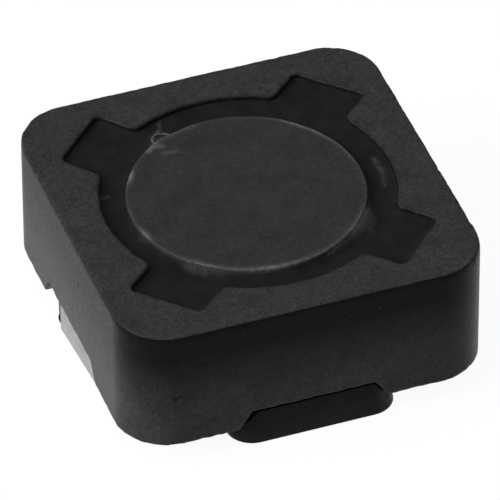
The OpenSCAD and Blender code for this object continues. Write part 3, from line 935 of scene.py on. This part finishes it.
class INDUCTOR_OT_adhesive(bpy.types.Operator):
    """Pours the adhesive round the drum and into the glue pockets"""

    bl_idname = "inductor.adhesive"
    bl_label = "Core Adhesive"

    STEP = 0.08 * MM
    BITE = 0.05 * MM
    BANKS = ((-131, 9, 1.4), (-120, 7, 0.9), (-40, 12, 1.5), (-62, 9, 0.8), (193, 4, 0.6), (115, 8, 1.2))
    REACH = ((-131, 9, 0.26), (-39, 11, 0.46), (-60, 8, 0.12), (193, 6, 0.05), (115, 9, 0.22))

    def execute(self, context):
        glue, ring = context.scene.inductor_adhesive, context.scene.inductor_ring
        draw = random.Random(17)
        centre = np.array(((DRUM_LOW + DRUM_HIGH) / 2)[:2])
        radius = (DRUM_HIGH.y - DRUM_LOW.y) / 2 - self.BITE
        outer = resampled(bore_outline(ring), self.STEP)
        outer = outer + outward(outer) * self.BITE
        inner = resampled(arc((0, 0), radius, 0.0, 357.0, 3.0), self.STEP) + centre
        loose = scattered(outer, inner, 0.08 * MM, 0.05 * MM, draw)
        flat = np.vstack([outer, inner, loose])
        to_ring = np.maximum(clearance(flat, outer) - self.BITE, 0.0)
        to_drum = np.maximum(clearance(flat, inner) - self.BITE, 0.0)
        level = FILL_HIGH.z - 0.03 * MM
        spots = raised(flat, 0.0)
        height = (
            level
            + glue.climb * np.exp(-np.minimum(to_ring, to_drum) / glue.climb_reach)
            + glue.unevenness * waves(spots, 1.4 * MM, 41)
            + 0.25 * glue.unevenness * waves(spots, 0.4 * MM, 43)
        )
        angles = round_from(flat, centre)
        reach = 0.06 * MM + spread(angles, self.REACH) * MM
        uneven = 1 + 0.35 * waves(spots, 0.25 * MM, 47)
        slope = np.clip(1.25 - to_drum / (reach * uneven), 0.0, 1.0)
        bank = np.minimum(spread(angles, self.BANKS), 1.0) * slope
        height += (DRUM_HIGH.z - 0.04 * MM - height) * bank
        faces = filled(outer, inner, loose)
        shape = Shape()
        top = shape.add(raised(flat, height), traced(flat))
        shape.bank = np.concatenate([bank, 0 * bank])
        low = shape.add(raised(flat, FILL_LOW.z))
        shape.faces.extend(map(tuple, top[faces]))
        shape.faces.extend(map(tuple, low[faces][:, ::-1]))
        a, b = len(outer), len(outer) + len(inner)
        shape.band(low[:a], top[:a])
        shape.band(top[a:b], low[a:b])
        look = cured_adhesive("Cured adhesive", glue.colour, glue.trace_colour, glue.bank_colour)
        piece = shape.make("core_fill", look)
        held = piece.data.attributes.new("bank", "FLOAT", "POINT")
        held.data.foreach_set("value", shape.bank.astype(np.float32))
        dressed(piece, "black_adhesive", "core_adhesive")
        dressed(self.bubble(glue), "black_adhesive")
        return {"FINISHED"}

    def bubble(self, glue):
        """The ring that a burst bubble left on the drum's rim."""
        centre = np.array((-1.76 * MM, 3.44 * MM))
        shape, loops = Shape(), []
        around = np.radians(np.arange(0, 360, 5.0))
        wobble = np.column_stack([np.cos(around), np.sin(around), np.zeros(len(around))])
        radius = 0.34 * MM * (1 + 0.12 * waves(wobble, 0.9, 51))
        thick = 0.042 * MM * (1 + 0.5 * waves(wobble, 0.5, 53))
        for side in np.radians(np.arange(0, 360, 30.0)):
            away = radius + thick * np.cos(side)
            height = DRUM_HIGH.z - 0.042 * MM + 0.7 * thick * np.sin(side)
            flat = centre + np.stack([away * np.cos(around), away * np.sin(around)], axis=1)
            loops.append(shape.add(raised(flat, height), 1.0))
        for lower, upper in zip(loops, loops[1:] + loops[:1]):
            shape.band(lower, upper)
        return shape.make("bubble_rim", cured_adhesive("Thin adhesive", glue.colour, glue.trace_colour))


class INDUCTOR_OT_base(bpy.types.Operator):
    """Builds the moulded base, with softened edges and its front tab a little off its place"""

    bl_idname = "inductor.base"
    bl_label = "Moulded Base"

    FOOT_TOP = 0.42 * MM
    FOOT_SHIFT = 0.17 * MM
    KEY_SHIFT = 0.19 * MM
    KEY_FADE = 4.0 * MM
    FRONT_START = 4.95 * MM
    FRONT_BLEND = 0.25 * MM
    KEY_CREST = 1.25 * MM
    KEY_DROP = 0.05 * MM
    CORNER_PLACE = (-5.96, 1.50, 0.43)
    CORNER_SIZE = (0.17, 0.21, 0.26)
    CORNER_POLE = 0.262
    SHARP = 35.0

    def execute(self, context):
        base = context.scene.inductor_base
        mesh = softened("terminal_base", "moulded_base", base.edge_radius)
        points = read_vertices(mesh)
        x, y, z = points.T
        front = eased((-y - self.FRONT_START) / self.FRONT_BLEND)
        left = eased(0.5 - x / self.KEY_FADE)
        points[:, 0] += front * np.where(z < self.FOOT_TOP, self.FOOT_SHIFT, self.KEY_SHIFT * left)
        points[:, 2] -= np.where(z > self.KEY_CREST, self.KEY_DROP, 0.0)
        mesh.vertices.foreach_set("co", points.ravel())
        look = moulded_plastic("Moulded plastic", base.colour)
        dressed(placed("moulded_base", mesh, look, self.SHARP), "base_plastic", "terminal_base")
        dressed(self.foot_corner(look), "base_plastic")
        return {"FINISHED"}

    def foot_corner(self, look):
        """The rounded end of the foot that shows behind the left terminal."""
        shape, loops = Shape(), []
        centre = np.array(self.CORNER_PLACE) * MM
        around = np.radians(np.arange(0, 360, 12.0))
        for lift in np.radians(np.arange(-80, 81, 10.0)):
            ring = np.column_stack(
                [
                    np.cos(around) * math.cos(lift),
                    np.sin(around) * math.cos(lift),
                    np.full(len(around), math.sin(lift)),
                ]
            )
            ring = ring * (1 + 0.12 * waves(ring, 0.8, 83))[:, None]
            loops.append(shape.add(centre + ring * np.array(self.CORNER_SIZE) * MM))
        for lower, upper in zip(loops, loops[1:]):
            shape.band(lower, upper)
        low, high = (centre + np.array((0, 0, side * self.CORNER_POLE)) * MM for side in (-1, 1))
        shape.cap(loops[0][::-1], shape.add([low])[0])
        shape.cap(loops[-1], shape.add([high])[0])
        return shape.make("foot_corner", look)


def eased(values):
    """A smooth step from 0 to 1."""
    held = np.clip(values, 0.0, 1.0)
    return held * held * (3 - 2 * held)


def softened(node, name, radius):
    """A copy of a frame node's mesh with its sharp edges rounded."""
    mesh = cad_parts[node].data.copy()
    mesh.name = name
    body = bmesh.new()
    body.from_mesh(mesh)
    bmesh.ops.remove_doubles(body, verts=body.verts, dist=1e-7)
    bmesh.ops.dissolve_limit(
        body, angle_limit=math.radians(1.0), verts=body.verts, edges=body.edges, use_dissolve_boundaries=False
    )
    sharp = [e for e in body.edges if e.is_manifold and e.calc_face_angle(0.0) > math.radians(30)]
    bmesh.ops.bevel(
        body, geom=sharp, offset=radius, segments=2, profile=0.5, affect="EDGES", clamp_overlap=True
    )
    body.to_mesh(mesh)
    body.free()
    return mesh


class INDUCTOR_OT_terminals(bpy.types.Operator):
    """Builds the two tinned terminals and finishes their solder"""

    bl_idname = "inductor.terminals"
    bl_label = "Terminals and Solder"

    EDGE = 0.03 * MM
    SHARP = 35.0
    TONGUE_END = 4.7 * MM
    BLEND = 0.9 * MM
    SKEW = 0.0559
    SKEW_MIDDLE = 0.4 * MM
    NARROWING = 0.03
    FORWARD = 0.40 * MM

    def execute(self, context):
        metal = context.scene.inductor_metal
        tin = tinned_metal("Tin plate", metal.tin, (1.0, 0.08, 1.0))
        for node, name, askew in (
            ("terminal_left", "left_terminal", 1.0),
            ("terminal_right", "right_terminal", 0.0),
        ):
            mesh = softened(node, name, self.EDGE)
            points = read_vertices(mesh)
            moved = askew * eased((np.abs(points[:, 0]) - self.TONGUE_END) / self.BLEND)
            points[:, 0] += moved * (-self.SKEW * (points[:, 1] - self.SKEW_MIDDLE))
            points[:, 1] += moved * (-self.NARROWING * points[:, 1] - self.FORWARD)
            mesh.vertices.foreach_set("co", points.ravel())
            dressed(placed(name, mesh, tin, self.SHARP), "tinned_strip", node)
        solder = tinned_metal("Solder", metal.solder, (1.0, 1.0, 1.0))
        for node in ("solder_left", "solder_right"):
            paint(node, solder)
        return {"FINISHED"}


class INDUCTOR_OT_inside(bpy.types.Operator):
    """Finishes the winding and the film under the drum"""

    bl_idname = "inductor.inside"
    bl_label = "Winding and Bond"

    def execute(self, context):
        paint("coil_winding", enamelled_wire("Enamelled copper", context.scene.inductor_metal.wire))
        paint("base_adhesive", cured_adhesive("Bond film", (0.03, 0.03, 0.03), (0.05, 0.05, 0.05)))
        return {"FINISHED"}


def paint(node, material):
    """Gives a frame node its material."""
    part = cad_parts[node]
    part.data.materials.clear()
    part.data.materials.append(material)


class INDUCTOR_OT_stage(bpy.types.Operator):
    """Sets up the floor, the light and the camera"""

    bl_idname = "inductor.stage"
    bl_label = "Stage"

    def execute(self, context):
        stage = context.scene.inductor_stage
        half = stage.floor_size / 2
        mesh = bpy.data.meshes.new("floor")
        mesh.from_pydata(
            [(-half, -half, 0), (half, -half, 0), (half, half, 0), (-half, half, 0)], [], [(0, 1, 2, 3)]
        )
        mesh.materials.append(plain_floor("White card"))
        floor = bpy.data.objects.new("floor", mesh)
        context.scene.collection.objects.link(floor)
        self.light_sky(context, stage)
        self.add_lamp(context, "key_light", (-0.38, -0.03, 0.24), 0.30, stage.key)
        self.aim_camera(context, stage)
        context.scene.view_settings.view_transform = "Standard"
        return {"FINISHED"}

    def light_sky(self, context, stage):
        world = bpy.data.worlds.new("Studio")
        world.use_nodes = True
        tree = world.node_tree
        tree.nodes.clear()
        glow = tree.nodes.new("ShaderNodeBackground")
        glow.inputs["Color"].default_value = (0.97, 1.0, 1.03, 1.0)
        glow.inputs["Strength"].default_value = stage.sky
        output = tree.nodes.new("ShaderNodeOutputWorld")
        tree.links.new(glow.outputs[0], output.inputs["Surface"])
        context.scene.world = world

    def add_lamp(self, context, name, place, size, energy):
        lamp = bpy.data.lights.new(name, "AREA")
        lamp.shape = "SQUARE"
        lamp.size = size
        lamp.energy = energy
        holder = bpy.data.objects.new(name, lamp)
        holder.location = place
        holder.rotation_euler = (-Vector(place)).to_track_quat("-Z", "Y").to_euler()
        context.scene.collection.objects.link(holder)

    def aim_camera(self, context, stage):
        a, e = stage.azimuth, stage.elevation
        back = Vector((math.sin(a) * math.cos(e), -math.cos(a) * math.cos(e), math.sin(e)))
        right = Vector((0, 0, 1)).cross(back).normalized()
        up = back.cross(right)
        c, s = math.cos(stage.roll), math.sin(stage.roll)
        right, up = c * right + s * up, c * up - s * right
        camera = bpy.data.cameras.new("camera")
        camera.lens = stage.lens
        camera.sensor_width = 36.0
        camera.clip_start, camera.clip_end = 0.01, 10.0
        holder = bpy.data.objects.new("camera", camera)
        turn = Matrix((right, up, back)).transposed().to_4x4()
        holder.matrix_world = Matrix.Translation(Vector(stage.target) + back * stage.distance) @ turn
        context.scene.collection.objects.link(holder)
        context.scene.camera = holder


class INDUCTOR_PT_sidebar(bpy.types.Panel):
    """Lists the operators and their settings"""

    bl_label = "Shielded Inductor"
    bl_idname = "INDUCTOR_PT_sidebar"
    bl_space_type = "VIEW_3D"
    bl_region_type = "UI"
    bl_category = "Inductor"

    def draw(self, context):
        layout = self.layout
        for operator in OPERATORS:
            layout.operator(operator.bl_idname)
        for name in SETTINGS:
            box = layout.box()
            box.label(text=name.capitalize())
            group = getattr(context.scene, "inductor_" + name)
            for key in group.__annotations__:
                box.prop(group, key)


SETTINGS = {
    "ring": RingSettings,
    "drum": DrumSettings,
    "adhesive": AdhesiveSettings,
    "base": BaseSettings,
    "metal": MetalSettings,
    "stage": StageSettings,
}
OPERATORS = (
    INDUCTOR_OT_stage,
    INDUCTOR_OT_ring,
    INDUCTOR_OT_drum,
    INDUCTOR_OT_adhesive,
    INDUCTOR_OT_base,
    INDUCTOR_OT_terminals,
    INDUCTOR_OT_inside,
)
CLASSES = (*SETTINGS.values(), *OPERATORS, INDUCTOR_PT_sidebar)


def register():
    for made in CLASSES:
        bpy.utils.register_class(made)
    for name, group in SETTINGS.items():
        setattr(bpy.types.Scene, "inductor_" + name, bpy.props.PointerProperty(type=group))


def unregister():
    for name in SETTINGS:
        delattr(bpy.types.Scene, "inductor_" + name)
    for made in reversed(CLASSES):
        bpy.utils.unregister_class(made)


def main():
    register()
    bpy.ops.inductor.stage()
    bpy.ops.inductor.ring()
    bpy.ops.inductor.drum()
    bpy.ops.inductor.adhesive()
    bpy.ops.inductor.base()
    bpy.ops.inductor.terminals()
    bpy.ops.inductor.inside()


if __name__ == "__main__":
    main()
